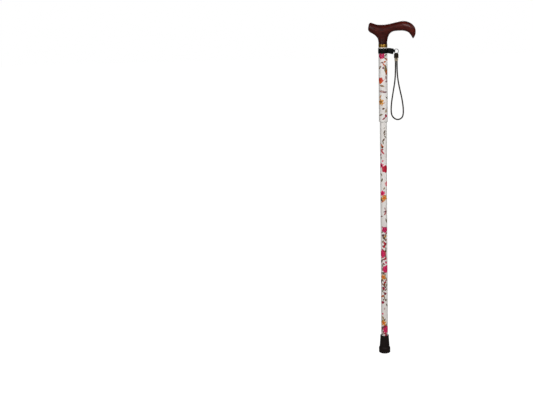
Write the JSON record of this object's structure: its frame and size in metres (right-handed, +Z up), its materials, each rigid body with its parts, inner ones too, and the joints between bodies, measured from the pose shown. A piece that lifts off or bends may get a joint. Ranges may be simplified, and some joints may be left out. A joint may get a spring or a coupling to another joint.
{
  "type": "folding walking cane",
  "caption": "Folding, height-adjustable walking cane with a wooden derby handle, printed metal shaft, rubber tip and a wrist strap on a swivelling ring.",
  "frame": {"origin": "centre of the rubber tip's flat foot, on the shaft's axis", "axes": "+Z up the shaft to the handle; +X towards the tip of the handle's hook; Y across the handle"},
  "size_m": [0.1185, 0.0304, 0.8698],
  "materials": {
    "wood": "stained and lacquered hardwood",
    "aluminium": "drawn tube, satin",
    "steel": "zinc plated",
    "gold": "antique gold plated",
    "printed_tube": "gloss white with a small flower print",
    "white_plastic": "moulded",
    "elastic": "covered elastic cord",
    "black_plastic": "moulded",
    "rubber": "matt moulded rubber",
    "strap_leather": "grained, soft sheen",
    "thread": "twisted thread",
    "nickel": "nickel plated",
    "braided_cord": "round braid"
  },
  "bodies": {
    "grip": {"handle": "wood", "handle_stem": "aluminium", "stem_pin": "steel", "gold_collar": "gold", "upper_tube": "printed_tube", "upper_tube_bush": "white_plastic"},
    "inner": {"inner_tube": "printed_tube", "inner_top_bush": "white_plastic", "button_spring": "steel", "spigot_1": "aluminium", "cord_anchor_plug": "black_plastic", "anchor_pin": "steel", "cord_stop_top": "steel", "elastic_cord": "elastic"},
    "button": {"snap_button": "steel"},
    "section_2": {"section_2_tube": "printed_tube", "spigot_2": "aluminium"},
    "section_3": {"section_3_tube": "printed_tube", "spigot_3": "aluminium"},
    "section_4": {"section_4_tube": "printed_tube", "lower_anchor_plug": "black_plastic", "cord_stop_bottom": "steel", "tip_washer": "steel", "rubber_tip": "rubber"},
    "band": {"strap_band": "strap_leather", "band_stitching": "thread"},
    "ring": {"strap_ring": "nickel"},
    "wrist_strap": {"strap_sleeve": "strap_leather", "strap_ferrule": "nickel", "wrist_cord": "braided_cord"}
  },
  "joints": [
    {"name": "height_slide", "type": "slide", "parent": "grip", "child": "inner", "axis": [0, 0, 1], "range_m": [0, 0.09]},
    {"name": "button_press", "type": "slide", "parent": "inner", "child": "button", "axis": [0, -1, 0], "range_m": [0, 0.003], "stiffness_N_per_m": 700, "springref_m": -0.003, "deforming": ["button_spring"]},
    {"name": "pull_1", "type": "slide", "parent": "inner", "child": "section_2", "axis": [0, 0, -1], "range_m": [0, 0.04], "stiffness_N_per_m": 400, "springref_m": -0.05, "deforming": ["elastic_cord"]},
    {"name": "pull_2", "type": "slide", "parent": "section_2", "child": "section_3", "axis": [0, 0, -1], "range_m": [0, 0.04], "stiffness_N_per_m": 400, "springref_m": -0.05, "deforming": ["elastic_cord"]},
    {"name": "pull_3", "type": "slide", "parent": "section_3", "child": "section_4", "axis": [0, 0, -1], "range_m": [0, 0.04], "stiffness_N_per_m": 400, "springref_m": -0.05, "deforming": ["elastic_cord"]},
    {"name": "strap_turn", "type": "hinge", "parent": "grip", "child": "band", "pos_m": [0, 0, 0.7972], "axis": [0, 0, 1], "continuous": true},
    {"name": "ring_swing", "type": "hinge", "parent": "band", "child": "ring", "pos_m": [0.0276, 0, 0.79615], "axis": [0, 0, 1], "range_deg": [-60, 60]},
    {"name": "strap_swing", "type": "hinge", "parent": "ring", "child": "wrist_strap", "pos_m": [0.03285, 0, 0.7905], "axis": [-1, 0, 0], "range_deg": [-75, 75]}
  ]
}
